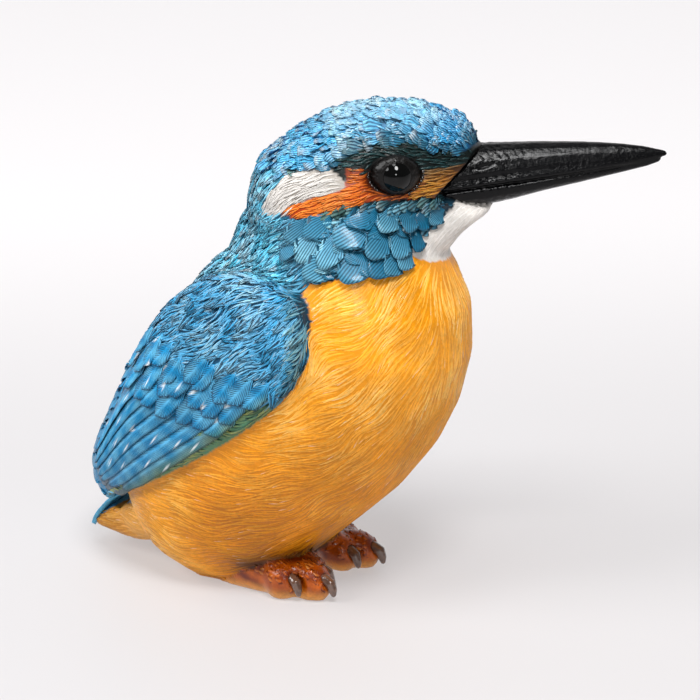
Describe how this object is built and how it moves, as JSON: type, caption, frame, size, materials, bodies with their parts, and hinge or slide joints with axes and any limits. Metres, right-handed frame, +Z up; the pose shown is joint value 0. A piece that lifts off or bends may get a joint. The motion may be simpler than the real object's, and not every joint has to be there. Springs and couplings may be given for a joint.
{
  "type": "kingfisher ornament",
  "caption": "Cast-resin kingfisher ornament at life size, sitting upright with folded wings and its head turned to its left.",
  "frame": {"origin": "on the flat base under the belly, in the middle plane of the trunk", "axes": "+X the way the breast faces, +Y the bird's left, +Z up"},
  "size_m": [0.1227, 0.0653, 0.1106],
  "materials": {
    "blue_plumage": "resin relief of feathers, painted blue with a pale dry-brushed crest, satin varnish",
    "orange_plumage": "resin relief of fine feathers, painted golden orange, satin varnish",
    "white_plumage": "resin relief of fine feathers, painted off-white",
    "bill": "smooth cast resin in gloss black enamel",
    "eye": "polished black bead",
    "foot": "scaled resin skin painted orange-brown, glossy",
    "claw": "dark grey enamel"
  },
  "bodies": {
    "root": {"head": "blue_plumage", "neck": "blue_plumage", "trunk": "orange_plumage", "tail": "blue_plumage", "bill_upper": "bill", "bill_lower": "bill", "eye_right": "eye", "eye_left": "eye", "wing_right": "blue_plumage", "wing_left": "blue_plumage", "foot_right": "foot", "foot_left": "foot", "claw_right_outer": "claw", "claw_right_middle": "claw", "claw_right_inner": "claw", "claw_left_outer": "claw", "claw_left_middle": "claw", "claw_left_inner": "claw"}
  },
  "joints": []
}
